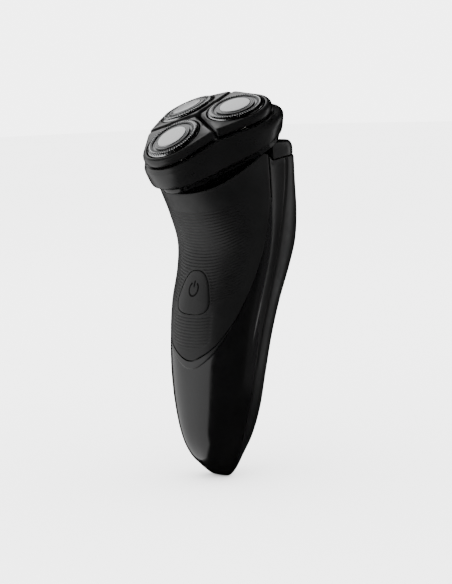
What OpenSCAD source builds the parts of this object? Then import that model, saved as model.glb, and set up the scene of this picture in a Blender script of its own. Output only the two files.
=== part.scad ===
// Electric rotary shaver with three round shaving heads, upright on its charging socket.
// Millimetres. +Z runs up the handle, the button side faces -Y, the origin is the mouth
// of the charging socket in the lower tip.

/* [Handle] */
// Overall width factor of the handle
handle_width = 1.0; // [0.95:0.01:1.05]
// Wall thickness of the two housing halves
wall = 2.1; // [2.0:0.1:2.4]
// Thickness of the ribbed grip panel
grip_thick = 1.1; // [1.0:0.1:1.2]
// Height of the centre of the power button
button_z = 78.5; // [77:0.5:80]
// Travel of the power button
button_travel = 0.8; // [0.4:0.1:1.0]

/* [Shaving unit] */
// Forward tilt of the shaving unit in degrees
unit_tilt = 28; // [26:0.5:30]
// Outward tilt of each shaving head in degrees
head_tilt = 8; // [6:0.5:9]
// Distance from the middle of the unit to the middle of each head
head_ring = 16.58; // [16.4:0.02:16.8]
// Radius of the metal rim of each guard
guard_r = 11.8; // [11.6:0.05:11.9]
// Slots in each guard
guard_slots = 30; // [18:1:36]
// Blades on each cutter
blades = 15; // [9:1:15]

/* [Charging socket] */
// Distance between the two contact pins
pin_pitch = 3.6; // [3.4:0.1:3.8]
// Radius of each contact pin
pin_r = 0.6; // [0.5:0.05:0.7]

/* [Hidden] */
$fn = 64;

unit_y = -5.62;
unit_z = 149.9;
hinge_y = 25.4;
hinge_z = 144.6;
spindle_ring = 16.06;
teeth_pinion = 18;
teeth_gear = 22;
gear_module = 2 * spindle_ring / (teeth_pinion + teeth_gear);
front_power = 2.3;
rear_power = 2.5;

// Control stations up the handle: height, half width, front, seam, rear
stations = [
  [0, 5.5, -2.8, 0, 2.8],
  [3.5, 8.7, -6.6, -0.2, 3.5],
  [9, 12.0, -11.8, -0.7, 5.6],
  [17, 15.1, -15.1, -0.6, 10.6],
  [29, 18.8, -16.0, -0.4, 13.8],
  [44, 21.5, -16.0, 0.8, 15.8],
  [60, 22.8, -15.6, 4.2, 19.2],
  [74, 24.0, -13.4, 7.6, 23.8],
  [87, 24.7, -9.4, 11.4, 30.2],
  [98, 26.0, -7.7, 13.1, 33.9],
  [110, 27.3, -12.3, 14.6, 33.4],
  [124, 27.2, -20.6, 17.2, 31.0],
  [142, 26.8, -27.0, 18.4, 29.6]];

// Lower border of the grip panel: angle from the front, height
grip_border = [[-17, 53], [0, 50.3], [17, 53], [32, 57.2], [46, 63.5],
               [57, 71.5], [66, 84], [72, 98], [79, 117]];
grip_side = 79;
panel_steps = 24;
panel_cols = [for (i = [0 : panel_steps]) (2 * i / panel_steps - 1) * (grip_side - 0.5)];

function cell(tab, x, i = 0) = (i >= len(tab) - 2 || x < tab[i + 1][0]) ? i : cell(tab, x, i + 1);
function slope(tab, i, c) =
  i <= 0 ? (tab[1][c] - tab[0][c]) / (tab[1][0] - tab[0][0]) :
  i >= len(tab) - 1 ? (tab[i][c] - tab[i - 1][c]) / (tab[i][0] - tab[i - 1][0]) :
  (tab[i + 1][c] - tab[i - 1][c]) / (tab[i + 1][0] - tab[i - 1][0]);
function spline(tab, x, c) =
  let (i = cell(tab, x), h = tab[i + 1][0] - tab[i][0], t = (x - tab[i][0]) / h)
  (2 * t * t * t - 3 * t * t + 1) * tab[i][c] + (t * t * t - 2 * t * t + t) * h * slope(tab, i, c)
  + (3 * t * t - 2 * t * t * t) * tab[i + 1][c] + (t * t * t - t * t) * h * slope(tab, i + 1, c);

function body_w(z) = handle_width * spline(stations, z, 1);
function body_front(z) = spline(stations, z, 2);
function body_seam(z) = spline(stations, z, 3);
function body_rear(z) = spline(stations, z, 4);

function sgnpow(v, p) = (v < 0 ? -1 : 1) * pow(abs(v), p);

// Point of the handle at an angle from the front, a height and a depth under the skin
function skin(b, z, inset) =
  let (c = sin(b), d = -cos(b), s = body_seam(z), p = 2 / (d > 0 ? rear_power : front_power))
  [(body_w(z) - inset) * sgnpow(c, p),
   s + (d > 0 ? body_rear(z) - s - inset : s - body_front(z) - inset) * sgnpow(d, p), z];

// Top edge of the housing halves: the collar dips to the front and has a notch at each side
collar = [[-60, 91.3], [3.4, 133.9], [5.2, 134.8], [7.2, 134.4], [9.8, 131.6], [14, 132.2], [60, 139]];
function collar_z(y, i = 0) = (i >= len(collar) - 2 || y < collar[i + 1][0])
  ? collar[i][1] + (collar[i + 1][1] - collar[i][1]) * (y - collar[i][0]) / (collar[i + 1][0] - collar[i][0])
  : collar_z(y, i + 1);
function edge_z(b, z = 128, n = 12) = n == 0 ? z : edge_z(b, 0.5 * z + 0.5 * collar_z(skin(b, z, 0)[1]), n - 1);
function border_z(b) = spline(grip_border, min(grip_side, abs(b)), 1);

function rows(n, m) = concat(
  [[for (i = [0 : n - 1]) i]],
  [for (j = [0 : m - 2], i = [0 : n - 1])
    [j * n + i, (j + 1) * n + i, (j + 1) * n + (i + 1) % n, j * n + (i + 1) % n]],
  [[for (i = [n - 1 : -1 : 0]) (m - 1) * n + i]]);

module stack(rings) {
  polyhedron([for (r = rings) each r], rows(len(rings[0]), len(rings)), convexity = 8);
}

// Curved sheet with thickness: two grids of points, outer and inner, closed round the rim
module sheet(outer, inner) {
  n = len(outer[0]);
  m = len(outer);
  o = n * m;
  polyhedron(concat([for (r = outer) each r], [for (r = inner) each r]), concat(
    [for (j = [0 : m - 2], i = [0 : n - 2]) let (a = j * n + i, b = a + n)
      each [[a, b + 1, b], [a, a + 1, b + 1], [o + a, o + b + 1, o + a + 1], [o + a, o + b, o + b + 1]]],
    [for (j = [0 : m - 2]) let (a = j * n, b = a + n, c = a + n - 1, d = b + n - 1)
      each [[a, o + b, o + a], [a, b, o + b], [c, o + d, d], [c, o + c, o + d]]],
    [for (i = [0 : n - 2]) let (a = i, c = (m - 1) * n + i)
      each [[a, o + a + 1, a + 1], [a, o + a, o + a + 1], [c, o + c + 1, o + c], [c, c + 1, o + c + 1]]]),
    convexity = 8);
}

// Heights of the points of one column: from low to high with extra points near the tip
function climb(low, high, n) = [for (i = [0 : n]) low + (high - low) * pow(i / n, low < 10 ? 1.5 : 1)];

// Prism across X of a closed outline in Y and Z
module across(pts, width) {
  rotate([90, 0, 90]) linear_extrude(width, center = true) polygon(pts);
}

module unit_frame() { translate([0, unit_y, unit_z]) rotate([unit_tilt, 0, 0]) children(); }

function outline(q, r, z, stretch = 1) =
  [for (k = [0 : 2], t = [-60 : 10 : 60]) let (a = 120 * k,
    x = q * sin(a) + r * sin(a + t), y = -q * cos(a) - r * cos(a + t),
    f = y > 0 ? 1 + (stretch - 1) * min(1, y / 14) : 1) [x * f, y * f, z]];

module plate(q, r, low, high) {
  translate([0, 0, low]) linear_extrude(high - low)
    polygon([for (p = outline(q, r, 0)) [p[0], p[1]]]);
}

module head_frame(turn) {
  rotate([0, 0, turn]) translate([0, -head_ring, 0]) rotate([head_tilt, 0, 0]) children();
}

// Outline of the power button, wider below than above
function shield(grow, i) = let (c = cos(10 * i), s = sin(10 * i), v = 8.8 * sgnpow(s, 0.66))
  [(8.4 - 0.3 * v + grow) * sgnpow(c, 0.72), v + grow * sgnpow(s, 0.3)];

module button_hole() {
  translate([0, 2, button_z]) rotate([90, 0, 0]) linear_extrude(40)
    polygon([for (i = [0 : 35]) shield(0.4, i)]);
}

// Front skin of the handle at a point seen from the front
function face_y(x, z) = let (s = body_seam(z), k = pow(abs(x) / body_w(z), front_power))
  s - (s - body_front(z)) * pow(1 - k, 1 / front_power);

// ---------------------------------------------------------------- handle
module front_cover() {
  cols = concat([-89.4, -84.5, -79.6, -79.0], panel_cols, [79.0, 79.6, 84.5, 89.4]);
  low = [for (b = cols) climb(0, border_z(b) - 0.1, 13)];
  high = [for (b = cols) climb(border_z(b) + 0.15, edge_z(b), 21)];
  function depth(b) = abs(b) < grip_side + 0.2 ? grip_thick + 0.4 : 0;
  color([0.05, 0.05, 0.055]) difference() {
    sheet([for (i = [0 : len(cols) - 1]) concat([for (z = low[i]) skin(cols[i], z, 0)],
            [for (z = high[i]) skin(cols[i], z, depth(cols[i]))])],
          [for (i = [0 : len(cols) - 1]) concat([for (z = low[i]) skin(cols[i], z, wall)],
            [for (z = high[i]) skin(cols[i], z, wall)])]);
    button_hole();
    translate([0, 0, -1]) linear_extrude(10) square([9.3, 5.9], center = true);
    unit_frame() translate([-6.9, -40, -22]) cube([13.8, 20, 12]);
  }
}

module grip_panel() {
  grid = [for (b = panel_cols) climb(border_z(b) + 0.35, edge_z(b), 22)];
  color([0.09, 0.09, 0.095]) difference() {
    sheet([for (i = [0 : panel_steps]) [for (z = grid[i]) skin(panel_cols[i], z, 0)]],
          [for (i = [0 : panel_steps]) [for (z = grid[i]) skin(panel_cols[i], z, grip_thick)]]);
    button_hole();
    unit_frame() translate([-6.9, -40, -22]) cube([13.8, 20, 12]);
  }
}

module rear_housing() {
  cols = [for (b = [89.8 : 7.5167 : 270.3]) b];
  grid = [for (b = cols) climb(0, edge_z(b), 24)];
  color([0.06, 0.06, 0.065]) difference() {
    sheet([for (i = [0 : len(cols) - 1]) [for (z = grid[i]) skin(cols[i], z, 0)]],
          [for (i = [0 : len(cols) - 1]) [for (z = grid[i]) skin(cols[i], z, wall)]]);
    translate([0, 0, -1]) linear_extrude(10) square([9.3, 5.9], center = true);
  }
}

// Rear shoulder: a band that follows the skin and stays under the flange of the top plate
function shoulder(z, depth, slope, b) = let (p = skin(b, z, depth))
  [p[0], p[1], min(z + slope * p[1], 132.3 + 0.5317 * p[1])];

module rear_shoulder() {
  color([0.04, 0.04, 0.045])
    sheet([for (b = [82 : 196 / 22 : 278.1]) [shoulder(130.55, 0.4, 0.15, b),
             shoulder(135.2, 0.4, 0.06, b), shoulder(138.8, 1.0, 0, b), shoulder(139.9, 2.4, 0, b)]],
          [for (b = [82 : 196 / 22 : 278.1]) [shoulder(130.55, 6.6, 0.15, b),
             shoulder(135.2, 6.6, 0.06, b), shoulder(138.8, 6.6, 0, b), shoulder(139.9, 6.5, 0, b)]]);
}

module hinge_bracket() {
  color([0.05, 0.05, 0.055]) difference() {
    union() {
      translate([-11.6, 22.8, 139.95]) cube([23.2, 5.6, 1.3]);
      for (s = [-1, 1]) translate([s * 10.2, 0, 0])
        across([[23.6, 140.5], [28.3, 140.5], [28.1, 145.6], [27, 147.2], [24.2, 147.4], [23.1, 145.6]], 2.8);
    }
    translate([0, hinge_y, hinge_z]) rotate([0, 90, 0]) cylinder(h = 40, r = 1.0, center = true);
  }
}

module top_plate() {
  color([0.04, 0.04, 0.045]) unit_frame() difference() {
    union() {
      plate(12.4, 16.4, -18.0, -16.4);
      plate(9.6, 11.6, -23, -17);
      plate(spindle_ring, 11.4, -17, -10);
    }
    plate(spindle_ring, 10.1, -15.9, -11.2);
    translate([0, 0, -30]) cylinder(h = 16, r = 3.4);
    for (turn = [0, 120, 240]) rotate([0, 0, turn]) translate([0, -spindle_ring, -16.8])
      cylinder(h = 8, r = 1.56);
    for (a = [60, 180, 300]) rotate([0, 0, a]) translate([0, -9.0, -24]) cylinder(h = 4, r = 0.87);
    translate([-6.9, -40, -19.6]) cube([13.8, 20.7, 3.25]);
  }
}

module power_button() {
  n = 5;
  color([0.08, 0.08, 0.085]) stack(concat(
    [for (k = [1 : n]) [for (i = [0 : 35]) let (p = shield(0, i), q = k / n)
      [p[0] * q, face_y(p[0] * q, button_z + p[1] * q) + 2.2, button_z + p[1] * q]]],
    [for (k = [n : -1 : 1]) [for (i = [0 : 35]) let (p = shield(0, i), q = (k / n) * (k == n ? 1 : 0.97))
      [p[0] * q, face_y(p[0] * q, button_z + p[1] * q) + (k == n ? 0.1 : -0.25 - 0.4 * (1 - q * q)),
       button_z + p[1] * q]]]));
}

module power_switch() {
  color([0.2, 0.2, 0.2]) union() {
    translate([-3, -8.6, button_z - 6]) cube([6, 1.0, 6]);
    translate([0, -8.5, button_z - 3]) rotate([90, 0, 0]) cylinder(h = 0.7, r = 1.4);
  }
}

module circuit_board() {
  color([0.1, 0.35, 0.15]) union() {
    translate([-9.5, -7.6, 20]) cube([19, 1.5, 60]);
    translate([-5, -9.2, 40]) cube([10, 1.7, 12]);
    translate([-7, -9.0, 26]) cube([6, 1.5, 7]);
    translate([2.2, -9.0, 27]) cube([4, 1.5, 4]);
  }
}

module battery_cells() {
  color([0.25, 0.4, 0.3]) for (s = [-1, 1]) translate([s * 7.45, 2.4, 25]) {
    cylinder(h = 48, r = 7.1);
    translate([0, 0, 47.5]) cylinder(h = 1.8, r = 2.6);
  }
}

module socket_insert() {
  color([0.05, 0.05, 0.05]) difference() {
    linear_extrude(8.8) square([9.2, 5.8], center = true);
    translate([0, 0, -0.5]) linear_extrude(7.5) square([7.6, 4.4], center = true);
    for (s = [-1, 1]) translate([s * pin_pitch / 2, 0, 6]) cylinder(h = 4, r = pin_r + 0.15);
  }
}

module socket_pins() {
  color([0.8, 0.7, 0.4]) for (s = [-1, 1]) translate([s * pin_pitch / 2, 0, 0]) {
    translate([0, 0, 1]) cylinder(h = 6.5, r = pin_r);
    translate([0, 0, 7]) cylinder(h = 6, r = pin_r + 0.15);
  }
}

// ---------------------------------------------------------------- drive
module motor() {
  color([0.6, 0.6, 0.62]) unit_frame() difference() {
    union() {
      translate([0, 0, -54]) cylinder(h = 28, r = 9.8);
      translate([0, 0, -26.1]) cylinder(h = 1.9, r = 3.0);
      translate([0, 0, -56]) cylinder(h = 2.1, r = 3.4);
    }
    translate([0, 0, -36]) cylinder(h = 20, r = 1.08);
  }
}

module motor_carrier() {
  color([0.12, 0.12, 0.12]) unit_frame() difference() {
    union() {
      translate([0, 0, -25.9]) cylinder(h = 1.5, r = 10.6);
      for (a = [60, 180, 300]) rotate([0, 0, a]) translate([0, -9.0, -25.9])
        cylinder(h = 2.85, r = 1.9);
    }
    translate([0, 0, -30]) cylinder(h = 20, r = 3.1);
    for (a = [60, 180, 300]) rotate([0, 0, a]) translate([0, -9.0, -30]) cylinder(h = 20, r = 0.9);
  }
}

module carrier_screws() {
  color([0.7, 0.7, 0.72]) unit_frame() for (a = [60, 180, 300]) rotate([0, 0, a])
    translate([0, -9.0, -25.8]) cylinder(h = 5.6, r = 0.85);
}

module motor_shaft() {
  color([0.75, 0.75, 0.77]) unit_frame() translate([0, 0, -35]) cylinder(h = 22.6, r = 1.0);
}

function tooth(n, rp, k) = let (p = 360 / n, a = k * p, h = 57.2958 / rp)
  [[rp - 0.95, a - 0.70 * h], [rp, a - 0.52 * h], [rp + 0.62, a - 0.27 * h],
   [rp + 0.62, a + 0.27 * h], [rp, a + 0.52 * h], [rp - 0.95, a + 0.70 * h]];

module gear_plan(n) {
  rp = n * gear_module / 2;
  polygon([for (k = [0 : n - 1], v = tooth(n, rp, k)) [v[0] * cos(v[1]), v[0] * sin(v[1])]]);
}

module drive_pinion() {
  color([0.85, 0.85, 0.8]) unit_frame() translate([0, 0, -15.6]) difference() {
    linear_extrude(2.6) gear_plan(teeth_pinion);
    translate([0, 0, -1]) cylinder(h = 5, r = 1.0);
  }
}

module gear(turn) {
  color([0.9, 0.9, 0.86]) unit_frame() rotate([0, 0, turn])
    translate([0, -spindle_ring, -15.6]) rotate([0, 0, 90]) difference() {
      linear_extrude(2.6) gear_plan(teeth_gear);
      translate([0, 0, -1]) cylinder(h = 5, r = 1.5);
    }
}

module spindle(turn) {
  color([0.85, 0.85, 0.82]) unit_frame() rotate([0, 0, turn]) translate([0, -spindle_ring, 0]) {
    translate([0, 0, -16.6]) cylinder(h = 11.8, r = 1.5);
    translate([0, 0, -5]) cylinder(h = 2.0, r = 1.1, $fn = 6);
  }
}

// ---------------------------------------------------------------- release and hinge
function lip(w, f, z) = concat([for (a = [0 : 12 : 180]) [-w * cos(a), -25.6 - f * sin(a), z]],
                               [[w, -21.3, z], [-w, -21.3, z]]);

module release_button() {
  color([0.07, 0.07, 0.075]) unit_frame()
    stack([lip(6.4, 2.4, -19.2), lip(6.5, 3.0, -18.5), lip(6.5, 3.0, -17.3), lip(6.3, 2.5, -16.7)]);
}

module hinge_pin() {
  color([0.7, 0.7, 0.72]) translate([0, hinge_y, hinge_z]) rotate([0, 90, 0])
    cylinder(h = 23.2, r = 0.98, center = true);
}

// ---------------------------------------------------------------- shaving unit
// Height of the domed top, a set distance under the heads
function dome(x, y, under) = let (u = max([for (k = [0 : 2]) x * sin(120 * k) - y * cos(120 * k)]))
  (under - sin(head_tilt) * (u - head_ring)) / cos(head_tilt);
function hub_ring(r, under) = [for (i = [0 : 38]) let (a = 360 * (i - 6) / 39)
  [r * sin(a), -r * cos(a), dome(0, 0, under) - 0.3]];
function dome_ring(q, r, s, under, stretch) = [for (p = outline(q, r, 0, stretch))
  [p[0] * s, p[1] * s, dome(p[0] * s, p[1] * s, under)]];

module unit_base() {
  color([0.04, 0.04, 0.045]) difference() {
    unit_frame() {
      stack([
        hub_ring(3, -6.6), dome_ring(13.8, 14.0, 0.45, -6.6, 0.98),
        dome_ring(13.8, 14.0, 0.75, -6.6, 0.98), dome_ring(13.8, 14.0, 1, -6.6, 0.98),
        outline(13.0, 16.2, -9.6, 0.99), outline(12.6, 16.4, -15.6, 0.98),
        outline(12.4, 18.0, -15.6, 0.98), outline(12.6, 18.6, -15.0, 1.0),
        outline(12.8, 18.7, -12.0, 1.04), outline(13.0, 18.6, -9.6, 1.07),
        outline(13.2, 18.3, -8.2, 1.05), dome_ring(13.6, 17.0, 1, -5.0, 1.0),
        dome_ring(13.6, 16.4, 1, -4.6, 1.0), dome_ring(13.6, 16.4, 0.75, -4.6, 1.0),
        dome_ring(13.6, 16.4, 0.45, -4.6, 1.0), hub_ring(3, -4.6)]);
    }
    unit_frame() for (turn = [0, 120, 240]) head_frame(turn) translate([0, 0, -9]) cylinder(h = 12, r = 12.9);
  }
}

// Lug under the unit: one outline across the hinge, round at the pin and flat under the flange
module hinge_lug() {
  dy = hinge_y - unit_y;
  dz = hinge_z - unit_z;
  axis = [dy * cos(unit_tilt) + dz * sin(unit_tilt), dz * cos(unit_tilt) - dy * sin(unit_tilt)];
  color([0.05, 0.05, 0.055]) unit_frame() rotate([90, 0, 90]) linear_extrude(17, center = true)
    difference() {
      union() {
        translate(axis) circle(2.5);
        polygon([[23.4, -19.2], [26.2, -19.2], [26.4, -15.65], [22.8, -15.65]]);
      }
      translate(axis) circle(1.04);
    }
}

module cutter_frame() {
  color([0.16, 0.16, 0.17]) unit_frame() difference() {
    plate(13.0, 14.6, -9.3, -8.1);
    for (turn = [0, 120, 240]) rotate([0, 0, turn]) translate([0, -spindle_ring, -12])
      cylinder(h = 8, r = 8.6);
    translate([0, 0, -12]) cylinder(h = 8, r = 2.55);
  }
}

module lock_knob() {
  color([0.5, 0.5, 0.52]) unit_frame() difference() {
    union() {
      translate([0, 0, -9.35]) cylinder(h = 4.3, r = 2.45);
      translate([0, 0, -8.0]) cylinder(h = 1.0, r = 4.2);
    }
    translate([-3, -0.4, -9.9]) cube([6, 0.8, 1.2]);
  }
}

function pod_ring(inset, z) =
  let (r = 14.7 - inset, m = 0.5 + inset, d = head_ring / 2 + r,
       pu = d / 2 + m * sin(60), pv = d * sin(60) - m / 2, au = m / sin(60))
  [for (p = concat(
      [for (t = [-60 : 10 : 60]) [head_ring + r * cos(t), r * sin(t)]],
      [[pu + 0.4, pv + 0.0], [pu - 0.7, pv - 1.1], [au + 0.8, 0.9], [au + 0.4, 0],
       [au + 0.8, -0.9], [pu - 0.7, -pv + 1.1], [pu + 0.4, -pv]]))
    [p[1], head_ring - p[0], z]];

module pod(turn) {
  color([0.05, 0.05, 0.055]) unit_frame() head_frame(turn) difference() {
    stack([pod_ring(1.1, -3.5), pod_ring(0.3, -3.0), pod_ring(0, -2.4),
                     pod_ring(0.15, -1.4), pod_ring(0.7, -0.7), pod_ring(1.5, -0.3)]);
    translate([0, 0, -6]) cylinder(h = 12, r = 12.3);
  }
}

module guard(turn) {
  color([0.75, 0.76, 0.78]) unit_frame() head_frame(turn) difference() {
    rotate_extrude($fn = 96) polygon([[11.45, -3.2], [guard_r, -3.2], [guard_r, 0], [11.3, 0.5],
      [10.6, 0.8], [8.9, 0.9], [8.4, 0.6], [2, 0.6], [2, 0.25], [8.5, 0.25], [9, 0.5],
      [10.5, 0.4], [11.1, 0.15], [11.45, -0.2]]);
    for (i = [0 : guard_slots - 1]) rotate([0, 0, 360 * i / guard_slots])
      translate([-0.2, 9.1, 0]) cube([0.4, 1.6, 2]);
  }
}

module cap(turn) {
  color([0.8, 0.81, 0.83]) unit_frame() head_frame(turn) rotate_extrude($fn = 96)
    polygon([[0, 0.62], [8.0, 0.62], [8.1, 0.75], [8.0, 1.0], [7.4, 1.15], [7.0, 1.05],
             [4, 1.2], [0, 1.25]]);
}

module cutter(turn) {
  color([0.7, 0.71, 0.73]) unit_frame() head_frame(turn) {
    difference() {
      union() {
        translate([0, 0, -2.6]) cylinder(h = 0.5, r = 10.6);
        for (i = [0 : blades - 1]) rotate([0, 0, 360 * i / blades])
          translate([-0.25, 8.6, -2.2]) cube([0.5, 1.95, 2.1]);
      }
      translate([0, 0, -4]) cylinder(h = 4, r = 3.0);
    }
  }
}

module hub(turn) {
  color([0.92, 0.92, 0.9]) unit_frame() head_frame(turn) difference() {
    union() {
      translate([0, 0, -4]) cylinder(h = 1.4, r = 3.9);
      translate([0, 0, -2.7]) cylinder(h = 2.5, r = 3.0);
    }
    translate([0, 0, -4.5]) cylinder(h = 3.6, r = 2.7);
  }
}

front_cover();
grip_panel();
rear_housing();
top_plate();
rear_shoulder();
hinge_bracket();
power_button();
power_switch();
circuit_board();
battery_cells();
socket_insert();
socket_pins();
motor();
motor_carrier();
carrier_screws();
motor_shaft();
drive_pinion();
gear(0);  // gear_front
gear(120);  // gear_right
gear(240);  // gear_left
spindle(0);  // spindle_front
spindle(120);  // spindle_right
spindle(240);  // spindle_left
release_button();
hinge_pin();
unit_base();
hinge_lug();
cutter_frame();
lock_knob();
pod(0);  // pod_front
pod(120);  // pod_right
pod(240);  // pod_left
guard(0);  // guard_front
guard(120);  // guard_right
guard(240);  // guard_left
cap(0);  // cap_front
cap(120);  // cap_right
cap(240);  // cap_left
cutter(0);  // cutter_front
cutter(120);  // cutter_right
cutter(240);  // cutter_left
hub(0);  // hub_front
hub(120);  // hub_right
hub(240);  // hub_left
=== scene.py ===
"""Looks of the rotary electric shaver: skins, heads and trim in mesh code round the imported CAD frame."""
import math

import bmesh
import bpy
import numpy as np
from mathutils import Matrix, Vector


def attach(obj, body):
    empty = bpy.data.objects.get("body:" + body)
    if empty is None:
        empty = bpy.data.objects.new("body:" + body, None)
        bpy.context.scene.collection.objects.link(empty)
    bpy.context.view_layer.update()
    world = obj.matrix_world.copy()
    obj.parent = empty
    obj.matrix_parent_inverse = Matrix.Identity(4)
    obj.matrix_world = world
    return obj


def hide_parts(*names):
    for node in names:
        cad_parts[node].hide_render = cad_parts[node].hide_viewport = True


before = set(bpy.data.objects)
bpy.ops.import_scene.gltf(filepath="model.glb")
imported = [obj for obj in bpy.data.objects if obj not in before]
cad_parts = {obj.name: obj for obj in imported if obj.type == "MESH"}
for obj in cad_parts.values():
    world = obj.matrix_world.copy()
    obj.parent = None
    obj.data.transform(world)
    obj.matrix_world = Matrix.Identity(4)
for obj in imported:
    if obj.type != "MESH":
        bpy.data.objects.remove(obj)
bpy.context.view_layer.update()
MM = 0.001

# ---------------------------------------------------------------- dimensions shared with the CAD, in mm
STATIONS = np.array([
    [0, 5.5, -2.8, 0, 2.8], [3.5, 8.7, -6.6, -0.2, 3.5], [9, 12, -11.8, -0.7, 5.6],
    [17, 15.1, -15.1, -0.6, 10.6], [29, 18.8, -16, -0.4, 13.8], [44, 21.5, -16, 0.8, 15.8],
    [60, 22.8, -15.6, 4.2, 19.2], [74, 24, -13.4, 7.6, 23.8], [87, 24.7, -9.4, 11.4, 30.2],
    [98, 26, -7.7, 13.1, 33.9], [110, 27.3, -12.3, 14.6, 33.4], [124, 27.2, -20.6, 17.2, 31],
    [142, 26.8, -27, 18.4, 29.6]])
GRIP_BORDER = np.array([
    [-17, 53], [0, 50.3], [17, 53], [32, 57.2], [46, 63.5],
    [57, 71.5], [66, 84], [72, 98], [79, 117]])
COLLAR = np.array([
    [-60, 91.3], [3.4, 133.9], [5.2, 134.8], [7.2, 134.4], [9.8, 131.6], [14, 132.2], [60, 139]])
GRIP_SIDE = 79.0
GRIP_THICK = 1.1
RECESS = 1.5
WALL = 2.1
FRONT_POWER, REAR_POWER = 2.3, 2.5
UNIT_Y, UNIT_Z, UNIT_TILT = -5.62, 149.9, 28.0
HEAD_TILT, HEAD_RING = 8.0, 16.58
BUTTON_Z = 78.5
TURNS = {"front": 0, "right": 120, "left": 240}


def hermite(table, x, column):
    """Smooth curve through one column of a table of control points."""
    x = np.asarray(x, float)
    keys, values = table[:, 0], table[:, column]
    slopes = np.empty(len(table))
    slopes[0] = (values[1] - values[0]) / (keys[1] - keys[0])
    slopes[-1] = (values[-1] - values[-2]) / (keys[-1] - keys[-2])
    slopes[1:-1] = (values[2:] - values[:-2]) / (keys[2:] - keys[:-2])
    i = np.clip(np.searchsorted(keys, x, side="right") - 1, 0, len(table) - 2)
    h = keys[i + 1] - keys[i]
    t = (x - keys[i]) / h
    return ((2 * t**3 - 3 * t**2 + 1) * values[i] + (t**3 - 2 * t**2 + t) * h * slopes[i]
            + (3 * t**2 - 2 * t**3) * values[i + 1] + (t**3 - t**2) * h * slopes[i + 1])


def skin(angle, z, inset=0.0):
    """Point of the handle at an angle from the front, a height and a depth under the skin."""
    angle, z = np.broadcast_arrays(np.radians(angle), np.asarray(z, float))
    c, d = np.sin(angle), -np.cos(angle)
    seam = hermite(STATIONS, z, 3)
    power = np.where(d > 0, 2 / REAR_POWER, 2 / FRONT_POWER)
    half = np.where(d > 0, hermite(STATIONS, z, 4) - seam, seam - hermite(STATIONS, z, 2)) - inset
    x = (hermite(STATIONS, z, 1) - inset) * np.sign(c) * np.abs(c) ** power
    y = seam + half * np.sign(d) * np.abs(d) ** power
    return np.stack([x, y, z], -1)


def collar_z(y):
    return np.interp(y, COLLAR[:, 0], COLLAR[:, 1])


def edge_z(angle):
    """Height of the top edge of the housings at an angle."""
    angle = np.asarray(angle, float)
    z = np.full_like(angle, 128.0)
    for _ in range(16):
        z = 0.5 * z + 0.5 * collar_z(skin(angle, z)[..., 1])
    return z


def border_z(angle):
    return hermite(GRIP_BORDER, np.minimum(GRIP_SIDE, np.abs(angle)), 1)


def smooth(t):
    t = np.clip(t, 0, 1)
    return t * t * (3 - 2 * t)


def turn_about(axis, degrees, p):
    a = math.radians(degrees)
    c, s = math.cos(a), math.sin(a)
    x, y, z = p[..., 0], p[..., 1], p[..., 2]
    if axis == "x":
        return np.stack([x, y * c - z * s, y * s + z * c], -1)
    return np.stack([x * c - y * s, x * s + y * c, z], -1)


def in_unit(p):
    """From the shaving unit's own frame to the shared one."""
    return turn_about("x", UNIT_TILT, p) + np.array([0, UNIT_Y, UNIT_Z])


def in_head(turn, p):
    """From one head's own frame to the shared one."""
    p = turn_about("x", HEAD_TILT, p) + np.array([0, -HEAD_RING, 0])
    return in_unit(turn_about("z", turn, p))


# ---------------------------------------------------------------- mesh helpers
def quads(index):
    return np.stack([index[:-1, :-1], index[1:, :-1], index[1:, 1:], index[:-1, 1:]], -1).reshape(-1, 4)


def piece(name, points, faces, body, nodes=(), materials=(), face_material=None, sharp=40):
    """A mesh piece in the shared frame from points in mm; it rides on a body and replaces CAD nodes."""
    mesh = bpy.data.meshes.new(name)
    mesh.from_pydata((np.asarray(points, float) * MM).tolist(), [], [list(map(int, f)) for f in faces])
    for material in materials:
        mesh.materials.append(material)
    if face_material is not None:
        mesh.polygons.foreach_set("material_index", np.asarray(face_material, np.int32))
    bm = bmesh.new()
    bm.from_mesh(mesh)
    bmesh.ops.recalc_face_normals(bm, faces=bm.faces)
    bm.to_mesh(mesh)
    bm.free()
    mesh.polygons.foreach_set("use_smooth", np.ones(len(mesh.polygons), bool))
    mesh.set_sharp_from_angle(angle=math.radians(sharp))
    obj = bpy.data.objects.new(name, mesh)
    bpy.context.scene.collection.objects.link(obj)
    if nodes:
        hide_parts(*nodes)
    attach(obj, body)
    return obj


def shell(outer, inner):
    """Closed sheet from two grids of points of one shape; returns points and quads, outer quads first."""
    rows, cols = outer.shape[:2]
    index = np.arange(rows * cols).reshape(rows, cols)
    under = index + rows * cols
    faces = [quads(index), quads(under)[:, ::-1]]
    rims = ((index[0], under[0]), (index[-1], under[-1]),
            (index[:, 0], under[:, 0]), (index[:, -1], under[:, -1]))
    for top, low in rims:
        faces.append(np.stack([top[:-1], top[1:], low[1:], low[:-1]], -1))
    return np.concatenate([outer.reshape(-1, 3), inner.reshape(-1, 3)]), np.concatenate(faces)


def loft(rings, closed=True, cap_start=False, cap_end=False):
    """Quads through rings of points, each closed on itself; closed joins the last ring to the first."""
    rings = np.asarray(rings, float)
    count, around = rings.shape[:2]
    index = np.arange(count * around).reshape(count, around)
    grid = np.concatenate([index, index[:, :1]], 1)
    if closed:
        grid = np.concatenate([grid, grid[:1]], 0)
    points, faces = rings.reshape(-1, 3), [list(f) for f in quads(grid)]
    for cap, ring, at in ((cap_start, rings[0], index[0]), (cap_end, rings[-1], index[-1])):
        if cap:
            centre = len(points)
            points = np.concatenate([points, ring.mean(0)[None]])
            faces += [[at[i], at[(i + 1) % around], centre] for i in range(around)]
    return points, faces


def spun(profile, around=120):
    """Rings of a round profile of (radius, height) points about Z."""
    a = np.linspace(0, 2 * math.pi, around, endpoint=False)
    return [np.stack([r * np.sin(a), -r * np.cos(a), np.full(around, z)], -1) for r, z in profile]


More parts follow.
